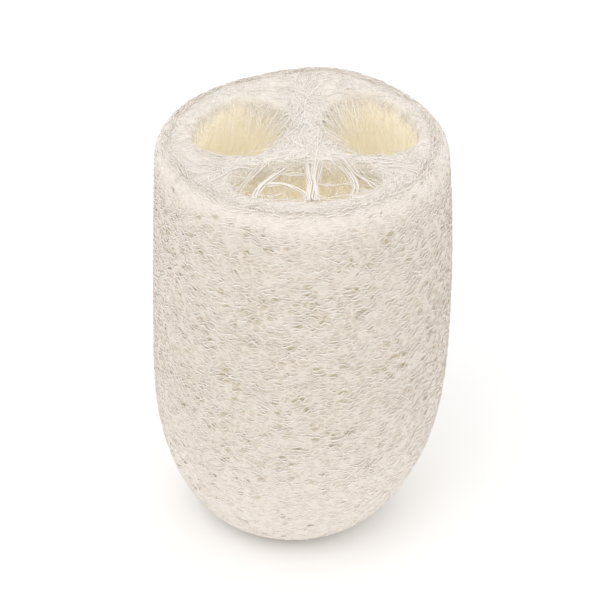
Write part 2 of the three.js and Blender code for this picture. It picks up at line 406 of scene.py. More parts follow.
def fibre_finish(name, light, dark, deep, lit):
    """Fibre between two tones, and a third of painted shade and warm light where it lies deep. Lit gives the
    painted glow on top and deep.
    """
    finish = Finish(name)
    tone, depth = finish.value("tone"), finish.value("depth")
    mottle = finish.noise(70, 3)
    base = finish.blend(finish.steps(tone * 0.7 + mottle * 0.3, 0.15, 0.85), dark, light)
    colour = finish.blend(depth, base, deep)
    glow = finish.blend(depth, *([share * part for part in GLOW_COLOUR] for share in lit))
    fibrils = finish.noise(2600, 2)
    relief = finish.add("ShaderNodeBump", {}, {"Strength": 0.3, "Distance": 0.0001, "Height": fibrils})
    return finish.surface(Base_Color=colour, Roughness=fibrils * 0.15 + 0.74, Normal=relief,
                          Emission_Color=glow, Emission_Strength=GLOW)


OUTER_FIBRE = fibre_finish("outer_fibre", PALE, CREAM, WARM_LIT_STRAW, (0.2, 0.2))
CUT_FIBRE = fibre_finish("cut_fibre", WHITE, (0.85, 0.8, 0.745), WARM_LIT_STRAW, (0.35, 1))
# In the lining the straw tones are painted warm light; further down they darken to painted shade as the
# painted glow fades
LINING_FIBRE = fibre_finish("lining_fibre", (0.95, 0.9, 0.78), WARM_LIT_STRAW, (0.87, 0.78, 0.56), (1, 0.2))
print("materials:", OUTER_FIBRE.name, CUT_FIBRE.name, LINING_FIBRE.name)

# %% [markdown]
# The mass between the strands is the same stuff, matted so finely that single fibres don't show. An image
# of felt could be laid over it, but nodes need no file: random cells give the small eyes of the net, and
# noise gives the felt and a mottle. On the wall the mat is painted darker than the strands, and darker still
# in the eyes of the net and in small tan pits, as painted shade. Inside the chambers it turns to a straw
# colour of painted warm light. Dry fibre lets light through, so a faint glow of the lining stands for that
# light.

# %% Mat material
EYE_SCALE, EYE_STRETCH, EYE_SWAY = 900, (0.55, 0.55, 1.0), 0.0012
# The wall mat's tones are painted darker than the strands, as the shade under them, and lighter where the
# net is dense
SHADED_RIDGES = (0.67, 0.605, 0.54), (0.71, 0.65, 0.585)
DENSE_NET = (0.8, 0.74, 0.68)
# Painted shade in the eyes of the net
GAP_SHADE = (0.6, 0.525, 0.435)
FELTED = (0.75, 0.69, 0.625), (0.82, 0.765, 0.705)
# Painted warm light inside the chambers
HOLLOW_WARM_LIGHT = WARM_LIT_STRAW, (0.94, 0.89, 0.77)


def mat_finish():
    finish = Finish("fibre_mat")
    mottle = finish.noise(80, 3)
    fine = finish.noise(2400, 3)
    eye = finish.steps(finish.cells(EYE_SCALE, EYE_STRETCH, EYE_SWAY), 0.03, 0.3)
    open_net = finish.value("open")
    # The gap and the pit mask paint shade into the eyes of the net and into the pits
    gap = eye * finish.steps(finish.noise(330, 2), 0.28, 0.58) * open_net
    wall = finish.blend(open_net, DENSE_NET, finish.blend(mottle, *SHADED_RIDGES))
    wall = finish.blend(finish.value("pit"), finish.blend(gap, wall, GAP_SHADE), PIT_SHADE_TAN)
    felted = finish.blend(finish.steps(fine * 0.6 + mottle * 0.4, 0.3, 0.7), *FELTED)
    # Inside the chambers the mat takes painted warm light
    hollow = finish.blend(finish.steps(fine * 0.4 + mottle * 0.6, 0.3, 0.7), *HOLLOW_WARM_LIGHT)
    outside = finish.blend(finish.value("top"), wall, felted)
    colour = finish.blend(finish.value("inside"), outside, hollow)
    glow = finish.blend(finish.value("glow"), (0, 0, 0), GLOW_COLOUR)
    bump = {"Strength": 0.5, "Distance": 0.0004, "Height": fine * 0.4 - gap}
    relief = finish.add("ShaderNodeBump", {}, bump)
    return finish.surface(Base_Color=colour, Roughness=fine * 0.1 + 0.8, Normal=relief,
                          Emission_Color=glow, Emission_Strength=GLOW, **SEEPING)


FIBRE_MAT = mat_finish()
print("material:", FIBRE_MAT.name)

# %% [markdown]
# ## Slow random waves
# Nothing on a grown thing is even, but nothing on it jumps either. A field of a few random waves gives a
# number that drifts slowly from place to place. It is seeded, so the gourd grows the same way each time.

# %% Random waves
class Drift:
    """A smooth random field over space, about -1 to 1, with a given wavelength in millimetres."""

    def __init__(self, seed, wavelength, waves=7):
        random = np.random.default_rng(seed)
        ways = random.normal(size=(waves, 3))
        ways /= np.linalg.norm(ways, axis=1, keepdims=True)
        self.ways = ways * 2 * math.pi / (wavelength * random.uniform(0.7, 1.5, (waves, 1)))
        self.starts = random.uniform(0, 2 * math.pi, waves)

    def __call__(self, points):
        return np.sin(points @ self.ways.T + self.starts).sum(-1) * math.sqrt(2 / len(self.starts)) * 0.6


print("sample of a drift:", np.round(Drift(1, 20.0)(np.eye(3) * 10), 2))

# %% [markdown]
# ## Strands as tubes
# Hair curves would be the quick way to make fibres, but they leave no mesh. So each strand is a thin tube
# of three to five sides with pointed ends. A whole batch of strands with equally many points is made at
# once with arrays. Each strand also gets its own strip of the piece's map, so that no two overlap there.

# %% Tubes from paths
class Batch:
    """Strands of equally many points: places, outward directions, radii, tones and depths."""

    def __init__(self, points, outward, radius, tone, depth, sides):
        count = points.shape[:2]
        self.points, self.sides = points, sides
        self.outward = np.broadcast_to(outward, points.shape)
        self.radius = np.broadcast_to(radius, count)
        self.tone = np.broadcast_to(tone, count)
        self.depth = np.broadcast_to(depth, count)

    def vertices(self):
        along = np.gradient(self.points, axis=1)
        along /= np.linalg.norm(along, axis=-1, keepdims=True) + 1e-9
        side = np.cross(along, self.outward)
        side /= np.linalg.norm(side, axis=-1, keepdims=True) + 1e-9
        over = np.cross(side, along)
        turn = 2 * math.pi * (np.arange(self.sides) + 0.5) / self.sides
        ring = np.cos(turn)[:, None] * over[:, :, None] + np.sin(turn)[:, None] * side[:, :, None]
        rings = self.points[:, :, None] + ring * self.radius[:, :, None, None]
        tips = self.points[:, [0, -1]] + along[:, [0, -1]] * self.radius[:, [0, -1], None] * [[[-2], [2]]]
        return np.concatenate([rings.reshape(len(rings), -1, 3), tips], axis=1)

    def carried(self, values):
        """A number of each path point, carried to its ring and to the two tips."""
        return np.concatenate([np.repeat(values, self.sides, axis=1), values[:, [0, -1]]], axis=1)

    def faces(self):
        """Vertex numbers and strip places of one strand's quads and tip triangles."""
        n, sides = self.points.shape[1], self.sides
        quads, quad_spots, tris, tri_spots = [], [], [], []
        for j in range(sides):
            nxt = (j + 1) % sides
            low, high = j / sides, (j + 1) / sides
            for i in range(n - 1):
                quads.append((i * sides + j, (i + 1) * sides + j, (i + 1) * sides + nxt, i * sides + nxt))
                a, b = (i + 1) / (n + 1), (i + 2) / (n + 1)
                quad_spots.append(((a, low), (b, low), (b, high), (a, high)))
            last, first_tip = (n - 1) * sides, n * sides
            tris.append((j, nxt, first_tip))
            tri_spots.append(((1 / (n + 1), low), (1 / (n + 1), high), (0, (low + high) / 2)))
            tris.append((last + nxt, last + j, first_tip + 1))
            tri_spots.append(((n / (n + 1), high), (n / (n + 1), low), (1, (low + high) / 2)))
        return (np.array(quads), np.array(quad_spots)), (np.array(tris), np.array(tri_spots))


print("a strand is a tube with a tip at each end")

# %% [markdown]
# A sheaf turns its batches into one mesh object. The arrays go straight into Blender's mesh, which takes a
# fraction of a second where adding faces one by one would take minutes.

# %% A sheaf of strands
def set_values(mesh, values):
    for key, numbers in values.items():
        layer = mesh.attributes.new(key, "FLOAT", "POINT")
        layer.data.foreach_set("value", numbers.astype(np.float32))


def mesh_object(name, vertices, corners, sizes, spots):
    mesh = bpy.data.meshes.new(name)
    mesh.vertices.add(len(vertices))
    mesh.vertices.foreach_set("co", (vertices * MM).astype(np.float32).ravel())
    mesh.loops.add(len(corners))
    mesh.loops.foreach_set("vertex_index", corners.astype(np.int32))
    mesh.polygons.add(len(sizes))
    starts = np.concatenate([[0], np.cumsum(sizes)[:-1]])
    mesh.polygons.foreach_set("loop_start", starts.astype(np.int32))
    mesh.polygons.foreach_set("use_smooth", np.ones(len(sizes), bool))
    mesh.update(calc_edges=True)
    layer = mesh.uv_layers.new(name="OFBake")
    layer.data.foreach_set("uv", spots.astype(np.float32).ravel())
    made = bpy.data.objects.new(name, mesh)
    bpy.context.collection.objects.link(made)
    return made


def dress(piece, material):
    piece.data.materials.clear()
    piece.data.materials.append(material)
    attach(piece, "root")
    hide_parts(NODE)


def sheaf(name, batches, material):
    strands = sum(len(batch.points) for batch in batches)
    columns = max(1, round(math.sqrt(strands / 6)))
    rows = math.ceil(strands / columns)
    vertices, corners, sizes, spots, tones, depths = [], [], [], [], [], []
    made = strand = 0
    for batch in batches:
        places = batch.vertices()
        count, each = places.shape[:2]
        starts = made + np.arange(count) * each
        numbers = strand + np.arange(count)
        cell = np.stack([numbers % columns, numbers // columns], -1)[:, None, None]
        for faces, strip in batch.faces():
            corners.append((starts[:, None, None] + faces).reshape(-1))
            sizes.append(np.full(count * len(faces), faces.shape[1]))
            spots.append(((cell + 0.04 + 0.92 * strip) / [columns, rows]).reshape(-1, 2))
        vertices.append(places.reshape(-1, 3))
        tones.append(batch.carried(batch.tone).ravel())
        depths.append(batch.carried(batch.depth).ravel())
        made += count * each
        strand += count
    vertices, corners, sizes, spots = (np.concatenate(part) for part in (vertices, corners, sizes, spots))
    piece = mesh_object(name, vertices, corners, sizes, spots)
    set_values(piece.data, {"tone": np.concatenate(tones), "depth": np.concatenate(depths)})
    dress(piece, material)
    print(f"{name}: {strands} strands, {int((sizes - 2).sum())} triangles")


print("a piece rides on root and shows instead of", NODE)

# %% [markdown]
# ## The fibre mass
# Under the strands lies the mat itself. Its body lies a little inside the skin, with the three chambers cut
# out. A boolean cut leaves knife edges, which a mat can't have, so a voxel remesh and a little smoothing
# round them. A drift then pushes the surface in and out.

# %% Body and chamber meshes
MASS_DEPTH = 1.6
CUT_DEPTH = 0.25
MASS_VOXEL = 1.3
MASS_ROUGH = 0.12
FRONT_GLOW = 2.2


def ring_mesh(name, rings):
    """A closed mesh from rings of equally many points, capped at both ends."""
    count, around = rings.shape[:2]
    i = np.arange(around)
    after = (i + 1) % around
    faces = [tuple(i[::-1]), tuple((count - 1) * around + i)]
    for k in range(count - 1):
        low, high = k * around, (k + 1) * around
        faces += zip(low + i, low + after, high + after, high + i)
    mesh = bpy.data.meshes.new(name)
    mesh.from_pydata(rings.reshape(-1, 3), [], [[int(v) for v in face] for face in faces])
    made = bpy.data.objects.new(name, mesh)
    bpy.context.collection.objects.link(made)
    return made


def body_rings(around=128, rings=120):
    turn = np.linspace(0, 2 * math.pi, around, endpoint=False)[None]
    s = np.linspace(WALL_FOOT * 0.3, WALK_END - 1, rings)[:, None]
    depth = CUT_DEPTH + (MASS_DEPTH - CUT_DEPTH) * (1 - smooth(s, WALL_TOP - 6, WALL_TOP + 3))
    return on_skin(turn, s, -depth)[0]


def chamber_rings(name, around=64, rings=40):
    out, across = oval(np.linspace(0, 2 * math.pi, around, endpoint=False))
    z = np.linspace(FLOOR, HEIGHT + 8, rings)[:, None]
    grown = floor_rounding(z) * 1.02
    return in_chamber(name, out * grown, across * grown, z)


print("rings of the body:", body_rings().shape, "of a chamber:", chamber_rings("front").shape)

# %% Cut, remesh and roughen
def applied(piece):
    """The piece's mesh with its modifiers worked in."""
    graph = bpy.context.evaluated_depsgraph_get()
    return bpy.data.meshes.new_from_object(piece.evaluated_get(graph))


def fibre_mass():
    body = ring_mesh("fibre_mass", body_rings())
    hollows = [ring_mesh("hollow_" + name, chamber_rings(name)) for name in CHAMBERS]
    for hollow in hollows:
        cut = body.modifiers.new(hollow.name, "BOOLEAN")
        cut.operation, cut.object, cut.solver = "DIFFERENCE", hollow, "EXACT"
    mesh = body.modifiers.new("remesh", "REMESH")
    mesh.mode, mesh.voxel_size = "VOXEL", MASS_VOXEL
    soften = body.modifiers.new("soften", "SMOOTH")
    soften.factor, soften.iterations = 0.5, 8
    body.data = applied(body)
    body.modifiers.clear()
    for hollow in hollows:
        bpy.data.objects.remove(hollow)
    return body


def roughen(body):
    count = len(body.data.vertices)
    places, normals = np.empty(count * 3, np.float32), np.empty(count * 3, np.float32)
    body.data.vertices.foreach_get("co", places)
    body.data.vertices.foreach_get("normal", normals)
    places, normals = places.reshape(-1, 3).astype(float), normals.reshape(-1, 3)
    rough = Drift(5, 5.0, 24)(places) * 0.6 + Drift(6, 2.6, 24)(places * [1, 1, 1.8]) * 0.4
    rough = np.where(places[:, 2] > 1.5, rough, 0)
    x, y = places[:, 0] - AXIS[0] - axis_x(places[:, 2]), places[:, 1] - AXIS[1]
    gone = np.min([beyond_chamber(name, x, y) for name in CHAMBERS], axis=0)
    lower = HEIGHT - places[:, 2]
    inside = (1 - smooth(gone, 1.2, 2.8)) * smooth(lower, 0.5, 5.0)
    top = 1 - smooth(lower, 2.0, 9.0)
    moved = (places + normals * (rough * MASS_ROUGH)[:, None]) * MM
    body.data.vertices.foreach_set("co", moved.astype(np.float32).ravel())
    body.data.polygons.foreach_set("use_smooth", np.ones(len(body.data.polygons), bool))
    # Inside the chambers the mat is marked for painted warm light, and a painted glow that is strongest near
    # the top and in the front chamber
    in_front = beyond_chamber("front", x, y) < gone + 0.1
    glow = inside * (1 - 0.85 * smooth(lower, 12, 75)) * np.where(in_front, FRONT_GLOW, 1.0)
    set_values(body.data, {"inside": inside, "top": top, "glow": glow})
    body.data.update()


mass = fibre_mass()
roughen(mass)
dress(mass, FIBRE_MAT)
mass_places = [corner.co for corner in mass.data.vertices]
mass_tree = BVHTree.FromPolygons(mass_places, [face.vertices for face in mass.data.polygons])
print("fibre mass:", len(mass.data.polygons), "faces")

# %% [markdown]
# ## The mat of the wall
# The wall has small eye-shaped pits where the net opens, long around the gourd and low along it. They are
# too small for the remeshed body, so the wall gets a mat of its own: a fine grid of angle and way walked,
# pushed in at each pit. The pits are scattered first, because the strands have to pass round them.

# %% Pits
PIT_COUNT = 2400
PIT_LONG, PIT_LOW = 1.1, 0.45
PIT_DEPTH = 0.75
MAT_DEPTH = 0.25
MAT_LOW, MAT_HIGH = WALL_FOOT * 0.3, WALL_TOP + 0.5


def openness(s):
    """How far the net stands open: it is denser towards the tip and at the rim."""
    above_tip = 0.15 + 0.85 * smooth(s, WALL_FOOT + 4, WALL_FOOT + 66)
    below_rim = 1 - 0.6 * smooth(s, WALL_TOP - 13, WALL_TOP - 4)
    return above_tip * below_rim


def scatter_pits(seed):
    """Angles, ways walked and sizes of the pits, more of them in some parts of the wall than in others."""
    random = np.random.default_rng(seed)
    angle = random.uniform(-math.pi, math.pi, PIT_COUNT)
    s = random.uniform(WALL_FOOT + 6, WALL_TOP - 4, PIT_COUNT)
    size = random.uniform(0.4, 1.1, PIT_COUNT)
    crowded = Drift(seed + 1, 30.0)(on_skin(angle, s, 0.0)[0])
    kept = random.uniform(-0.9, 0.9, PIT_COUNT) < crowded + 0.25
    return angle[kept], s[kept], (size * (0.45 + 0.55 * openness(s)))[kept]


PITS = scatter_pits(31)


def near_pits(angle, s):
    """For each place the depth of the pits there, and the push that leads strands round them."""
    deep, push = np.zeros(np.size(s)), np.zeros(np.size(s))
    r = np.interp(s, walk_s, walk_r).ravel()
    for pit_angle, pit_s, size in zip(*PITS):
        up = (np.ravel(s) - pit_s) / (PIT_LOW * size)
        level = np.nonzero(np.abs(up) < 4)[0]
        turned = np.ravel(angle)[level] - pit_angle
        u = np.arctan2(np.sin(turned), np.cos(turned)) * r[level] / (PIT_LONG * size)
        v = up[level]
        deep[level] = np.maximum(deep[level], np.exp(-(u**2) - v**2))
        push[level] += 0.9 * PIT_LOW * size * np.tanh(2 * v) * np.exp(-(u**2) - 0.35 * v**2)
    return deep.reshape(np.shape(s)), push.reshape(np.shape(s))


print("pits:", len(PITS[0]))

# %% Wall mat
def grid_faces(rows, around):
    """Corners and map places of a grid that closes round the gourd."""
    k, i = np.meshgrid(np.arange(rows - 1), np.arange(around), indexing="ij")
    after = (i + 1) % around
    here, above = k * around, (k + 1) * around
    corners = np.stack([here + i, here + after, above + after, above + i], -1)
    left, right = i / around, (i + 1) / around
    low, high = k / (rows - 1), (k + 1) / (rows - 1)
    spots = np.stack([left, low, right, low, right, high, left, high], -1)
    return corners.reshape(-1), spots.reshape(-1, 2)


def wall_mat(around=372, rows=170):
    angle = np.linspace(0, 2 * math.pi, around, endpoint=False)[None] + np.zeros((rows, 1))
    s = np.linspace(MAT_LOW, MAT_HIGH, rows)[:, None] + np.zeros((1, around))
    places = on_skin(angle, s, 0.0)[0]
    pit = near_pits(angle, s)[0]
    long_round = places * [0.3, 0.3, 1.0]
    streaks = Drift(7, 3.0, 20)(long_round) + 0.7 * Drift(8, 1.8, 20)(long_round)
    uneven = 0.015 * streaks * openness(s) + 0.01 * Drift(9, 9.0)(places)
    sunk = 1.2 * (1 - smooth(s, MAT_LOW, MAT_LOW + 4)) + 1.2 * smooth(s, MAT_HIGH - 5, MAT_HIGH)
    height = -MAT_DEPTH + uneven - PIT_DEPTH * pit - sunk
    corners, spots = grid_faces(rows, around)
    placed = on_skin(angle, s, height)[0].reshape(-1, 3)
    piece = mesh_object("wall_mat", placed, corners, np.full(len(corners) // 4, 4), spots)
    top = smooth(s, WALL_TOP - 9, WALL_TOP)
    # The pit mask paints shade into the pits
    pit = smooth(pit, 0.25, 0.9) * openness(s)
    set_values(piece.data, {"pit": pit.ravel(), "top": top.ravel(), "open": openness(s).ravel()})
    dress(piece, FIBRE_MAT)
    print("wall mat:", len(corners) // 2, "triangles")


wall_mat()

# %% [markdown]
# ## The net on the wall
# The outer fibres run round the gourd in short wavy strands. Neighbours wave against each other, touch and
# part round the pits. Winding whole rings would look like thread on a reel, so each row is broken into
# strands that lean a little this way or that, with ends that dive into the mat. They lie half sunk in it,
# so the wall stays even to the eye. The net is made in three bands, which keeps each piece light.

# %% Rows of strands
ROW_SCATTER, ROW_DRIFT = 0.07, 0.8
SINK_WHERE_DENSE = 0.13
END_DIVE, END_LENGTH = 0.5, 1.3


def row_starts(random, rows, length):
    """Where each strand starts along its row, and the number of its row."""
    starts, row_of = [], []
    for number, s in enumerate(rows):
        girth = 2 * math.pi * float(np.interp(s, walk_s, walk_r))
        count = max(3, round(girth / length))
        jitter = random.uniform(-0.4, 0.4, count)
        starts.append((np.arange(count) + jitter) * girth / count + random.uniform(0, girth))
        row_of.append(np.full(count, number))
    return np.concatenate(starts)[:, None], np.concatenate(row_of)[:, None]


def net(seed, low, high, spacing, length, points, wave, eye, height, radius, steep):
    """A batch of strands that lie on the skin between two ways walked from the tip."""
    random = np.random.default_rng(seed)
    rows = np.arange(low, high, spacing)
    starts, row_of = row_starts(random, rows, length)
    each = (len(starts), 1)
    s_row = rows[row_of] + random.normal(0, ROW_SCATTER, each)
    spans = length * random.uniform(0.8, 1.6, each)
    share = np.linspace(0, 1, points)[None]
    x = starts + (share - 0.5) * spans
    angle = x / np.interp(s_row, walk_s, walk_r)
    rough = on_skin(angle, s_row + 0 * angle, 0.0)[0]
    phase = 2 * math.pi * x / eye + math.pi * row_of + 2.5 * Drift(seed + 2, 6.0)(rough)
    swing = wave * (0.85 + 0.35 * Drift(seed + 1, 14.0)(rough))
    lean = random.normal(0, steep, each) * (share - 0.5) * spans
    s = s_row + swing * np.sin(phase) + ROW_DRIFT * Drift(seed + 3, 14.0)(rough) + lean
    s = s + near_pits(angle, s)[1]
    to_end = np.minimum(share, 1 - share) * spans
    opened = openness(s)
    weave = 0.06 * np.cos(phase + 0.9) + 0.02 * Drift(seed + 4, 4.0)(rough)
    weave = weave + random.normal(0, 0.03, each)
    lying = height - SINK_WHERE_DENSE * (1 - opened) + weave * opened
    lying = lying - END_DIVE * (1 - smooth(to_end, 0, END_LENGTH))
    placed, outward = on_skin(angle, s, lying)
    thick = radius * random.uniform(0.65, 1.4, each) * (0.45 + 0.55 * smooth(to_end, 0, 2.0))
    tone = np.clip(random.uniform(0.1, 1, each) + 0.08 * Drift(seed + 5, 12.0)(rough), 0, 1)
    tone = 1 - (1 - tone) * opened
    # Strands that lie deep are painted a warm straw, as shade and light let through the fibre
    depth = 0.25 * smooth(-lying, 0.1, 0.7) * opened
    return Batch(placed, outward, thick, tone, depth, 3)


NET_LOW, NET_HIGH = WALL_FOOT + 3.0, WALL_TOP - 0.5
NET = {"spacing": 0.85, "length": 3.1, "points": 7, "wave": 0.31, "eye": 2.6, "height": -0.13,
       "radius": 0.17, "steep": 0.05}
NET_BANDS = np.linspace(NET_LOW, NET_HIGH, 4)
for number, name in enumerate(("lower", "middle", "upper")):
    band = net(101 + 10 * number, *NET_BANDS[number:number + 2], **NET)
    sheaf(f"outer_net_{name}", [band], OUTER_FIBRE)

# %% [markdown]
# ## Felt on the cut end
# Where the knife went through, the cut fibres have frayed into a pale felt that lies every way, drapes over
# the rim and hangs into the chambers. Each fibre is walked over the cut end from a random place with a
# random curl, so that it bends as a fibre does. At the rim it is held back from the wall, and near the lips
# it is laid on the fibre mass, so that none floats.

# %% Walks over the cut end
RIM_REACH = FLAT + 2.5
RIM_GIVE = 0.25


def walked(random, x, y, heading, points, step, curl):
    """Plan paths that start at places and wander, one row for each fibre."""
    each = (len(x), 1)
    turns = random.normal(0, curl, (len(x), points)) + random.normal(0, curl * 0.8, each)
    heading = heading[:, None] + np.cumsum(turns, axis=1)
    length = step * random.uniform(0.7, 1.4, each)
    px = x[:, None] + np.cumsum(np.cos(heading) * length, axis=1)
    py = y[:, None] + np.cumsum(np.sin(heading) * length, axis=1)
    return px, py


def cut_places(random, count, inner, outer):
    """Random plan places of the cut end and a little of the wall that lie clear of the chambers."""
    far = np.sqrt(random.uniform(inner**2, outer**2, count))
    angle = random.uniform(0, 2 * math.pi, count)
    x, y = far * np.cos(angle), far * np.sin(angle)
    clear = np.all([beyond_chamber(name, x, y) > 0.3 for name in CHAMBERS], axis=0)
    return x[clear], y[clear]


def on_mass(points, height):
    """Places a height above the fibre mass nearest to the given ones, and the directions out of it."""
    found = [mass_tree.find_nearest(Vector(point))[:2] for point in points.reshape(-1, 3) * MM]
    nearest, outward = (np.array(part).reshape(points.shape) for part in zip(*found))
    return nearest / MM + outward * height[..., None], outward


print("felt is held back past", round(RIM_REACH, 1), "mm from the axis")


# %% Felt
def laid(random, x, y, height, radius, fray):
    """A batch of fibres that follow plan paths over the cut end, rooted at their start."""
    each = (len(x), 1)
    far = np.hypot(x, y)
    held_back = np.minimum(far, RIM_REACH + RIM_GIVE * (far - RIM_REACH)) / np.maximum(far, 1e-6)
    x, y = x * held_back, y * held_back
    share = np.linspace(0, 1, x.shape[1])[None]
    rise = height + random.normal(0, 0.06, each) + random.exponential(fray, each) * share**2
    rise = rise - 0.4 * (1 - smooth(share, 0, 0.25))
    guess, skin_out = on_cut(x, y, rise)
    held, mass_out = on_mass(guess, rise)
    over = (1 - smooth(np.hypot(x, y), FLAT + 1, FLAT + 5))[..., None]
    placed, outward = guess + (held - guess) * over, skin_out + (mass_out - skin_out) * over
    thick = radius * random.uniform(0.7, 1.35, each) * (0.45 + 0.55 * smooth(1 - share, 0, 0.3))
    # Fibres that hang into the chambers get painted warm shade and a painted glow
    depth = 0.7 * smooth(HEIGHT - 3 - placed[..., 2], 0, 5) * (np.hypot(x, y) < FLAT)
    return Batch(placed, outward, thick, random.uniform(0, 1, each), depth, 3)


def felt(seed, count, points, step, curl, height, radius, fray, inner, outer):
    random = np.random.default_rng(seed)
    x, y = cut_places(random, count, inner, outer)
    around = np.arctan2(y, x) + math.pi / 2 + random.normal(0, 0.5, len(x))
    heading = np.where(np.hypot(x, y) > FLAT - 1, around, random.uniform(0, 2 * math.pi, len(x)))
    return laid(random, *walked(random, x, y, heading, points, step, curl), height, radius, fray)


sheaf("cut_end_felt", [felt(404, 2600, 9, 0.6, 0.3, 0.02, 0.1, 0.02, 0, FLAT + 4)], CUT_FIBRE)
sheaf("rim_felt", [felt(406, 900, 9, 0.6, 0.22, 0.0, 0.1, 0.05, FLAT - 2, FLAT + 5),
                   felt(405, 800, 8, 0.6, 0.4, 0.05, 0.08, 0.3, 0, FLAT + 5)], CUT_FIBRE)

# %% [markdown]
# Along the partitions the fibres run in and out between the core and the wall, and along a chamber's lip
# they sweep round it. The same walk makes both, with a chosen heading. A fringe of finer fibres stands out
# from each lip into the mouth, and falls deeper at the back of the two side chambers.

# %% Partition and lip fibres
UP = np.array([0.0, 0.0, 1.0])
CORE = np.array([1.5, -3.0])
PARTITIONS = [math.radians(angle) for angle in (90, 214, 328)]
PARTITION_REACH = 31.0


def partition_fibres(seed, count, angles, width, height, radius):
    random = np.random.default_rng(seed)
    angle = random.choice(angles, count)
    wall = PARTITION_REACH * np.stack([np.cos(angle), np.sin(angle)])
    way = wall - CORE[:, None]
    aside = np.stack([-way[1], way[0]]) / np.hypot(*way)
    x, y = CORE[:, None] + way * random.uniform(-0.1, 0.85, count) + aside * random.normal(0, width, count)
    heading = np.arctan2(way[1], way[0]) + random.normal(0, 0.3, count)
    heading = heading + math.pi * random.integers(0, 2, count)
    return laid(random, *walked(random, x, y, heading, 12, 0.8, 0.12), height, radius, 0.1)


def lip_fibres(seed, count):
    random = np.random.default_rng(seed)
    xs, ys, headings = [], [], []
    for name in CHAMBERS:
        out, across = oval(random.uniform(0, 2 * math.pi, count))
        grown = 1 + random.uniform(0.05, 0.3, count)
        spot = in_chamber(name, out * grown, across * grown, HEIGHT - RIM_EDGE)
        middle = in_chamber(name, 0.0, 0.0, HEIGHT - RIM_EDGE)
        inward = np.arctan2(middle[1] - spot[:, 1], middle[0] - spot[:, 0])
        xs.append(spot[:, 0] - AXIS[0] - axis_x(HEIGHT))
        ys.append(spot[:, 1] - AXIS[1])
        headings.append(inward + random.uniform(1.0, 1.8, count) * random.choice([-1, 1], count))
    x, y, heading = (np.concatenate(part) for part in (xs, ys, headings))
    return laid(random, *walked(random, x, y, heading, 8, 0.6, 0.14), 0.04, 0.11, 0.3)


def fringe(name, seed, count, reach, radius, low=0, high=360, fall=(-0.8, 1.6), points=7):
    """Fine fibres that stand out from a part of a chamber's lip into its mouth, and fall a little."""
    random = np.random.default_rng(seed)
    each = (count, 1)
    share = np.linspace(0, 1, points)[None]
    bend = random.normal(0, 0.35, each) * share
    out, across = oval(np.radians(random.uniform(low, high, each)) + bend)
    grown = 1.12 - share * reach * random.uniform(0.4, 1.3, each)
    droop = random.uniform(*fall, each) * share**2
    z = HEIGHT - LIP * random.uniform(0.6, 1.6, each) - droop
    placed = in_chamber(name, out * grown, across * grown, z)
    thick = radius * random.uniform(0.6, 1.3, each) * (1 - 0.6 * share)
    # The fringe gets a little painted warm shade
    return Batch(placed, UP, thick, random.uniform(0.3, 1, each), 0.15, 3)


sheaf("partition_fibres", [partition_fibres(711, 480, PARTITIONS, 2.2, 0.06, 0.12),
                           partition_fibres(712, 170, PARTITIONS[1:], 0.9, 0.2, 0.15),
                           partition_fibres(713, 110, PARTITIONS[:1], 2.6, 0.15, 0.14),
                           lip_fibres(722, 50)], CUT_FIBRE)
sheaf("lip_fringe", [fringe("left", 731, 100, 0.3, 0.1), fringe("right", 732, 100, 0.3, 0.1),
                     fringe("left", 734, 110, 0.5, 0.13, 170, 290, (2, 9)),
                     fringe("right", 735, 110, 0.5, 0.13, 70, 190, (2, 9)),
                     fringe("front", 733, 130, 0.32, 0.13)], CUT_FIBRE)

# %% [markdown]
# ## Linings
# The chambers are lined with fibres that run along the gourd, where the seeds once hung, tied together by
# thinner ones across. Their straw colour, darker further down, is painted warm light and shade of the
# chamber.

# %% Chamber linings
def lining_batch(name, random, turn, z, inset, radius):
    out, across = oval(turn)
    size = floor_rounding(z) * (1.0 - inset)
    placed = in_chamber(name, out * size, across * size, z)
    inward = in_chamber(name, 0.0, 0.0, z) - placed
    inward /= np.linalg.norm(inward, axis=-1, keepdims=True)
    each = (len(placed), 1)
    # Deeper down the chamber the lining is painted darker, as shade
    depth = 0.8 * smooth(HEIGHT - z, 10, 60)
    thick = radius * random.uniform(0.6, 1.3, each)
    return Batch(placed, inward, thick, random.uniform(0, 1, each), depth, 3)


def lining(name, seed, count=64, points=20):
    random = np.random.default_rng(seed)
    turn = (np.arange(count) + random.uniform(-0.4, 0.4, count))[:, None] * 2 * math.pi / count
    top = HEIGHT - 2.5 - random.exponential(1.5, (count, 1))
    z = top + (FLOOR + 7 - top) * np.linspace(0, 1, points)[None] ** 1.15
    spot = np.stack([10 * np.cos(turn) + 0 * z, 10 * np.sin(turn) + 0 * z, z], -1)
    wander = turn + 0.1 * Drift(seed, 18.0)(spot) + 0.06 * Drift(seed + 1, 6.0)(spot)
    return lining_batch(name, random, wander, z, -0.012 + 0.006 * Drift(seed + 2, 9.0)(spot), 0.11)


def lining_ties(name, seed, count=220, points=8):
    random = np.random.default_rng(seed)
    each = (count, 1)
    share = np.linspace(0, 1, points)[None]
    turn = random.uniform(0, 2 * math.pi, each) + random.uniform(0.2, 0.5, each) * share
    z = HEIGHT - 4 - 80 * random.uniform(0, 1, each) ** 1.6 + (share - 0.5) * random.normal(0, 5, each)
    return lining_batch(name, random, turn, z, -0.01 + 0.006 * random.normal(0, 1, each), 0.08)


for number, name in enumerate(CHAMBERS):
    fibres = [lining(name, 500 + number), lining_ties(name, 600 + number)]
    sheaf(f"{name}_chamber_lining", fibres, LINING_FIBRE)

# %% [markdown]
# ## Strands over the front chamber
# Pale strands span the mouth of the front chamber: a broad web from the core to the wall, and arcs and ties
# beside it. Their routes are given in shares of the chamber. Each is a bundle of fibres
# that follow one smooth curve side by side, and spread where they root. A few finer ones fray from it.

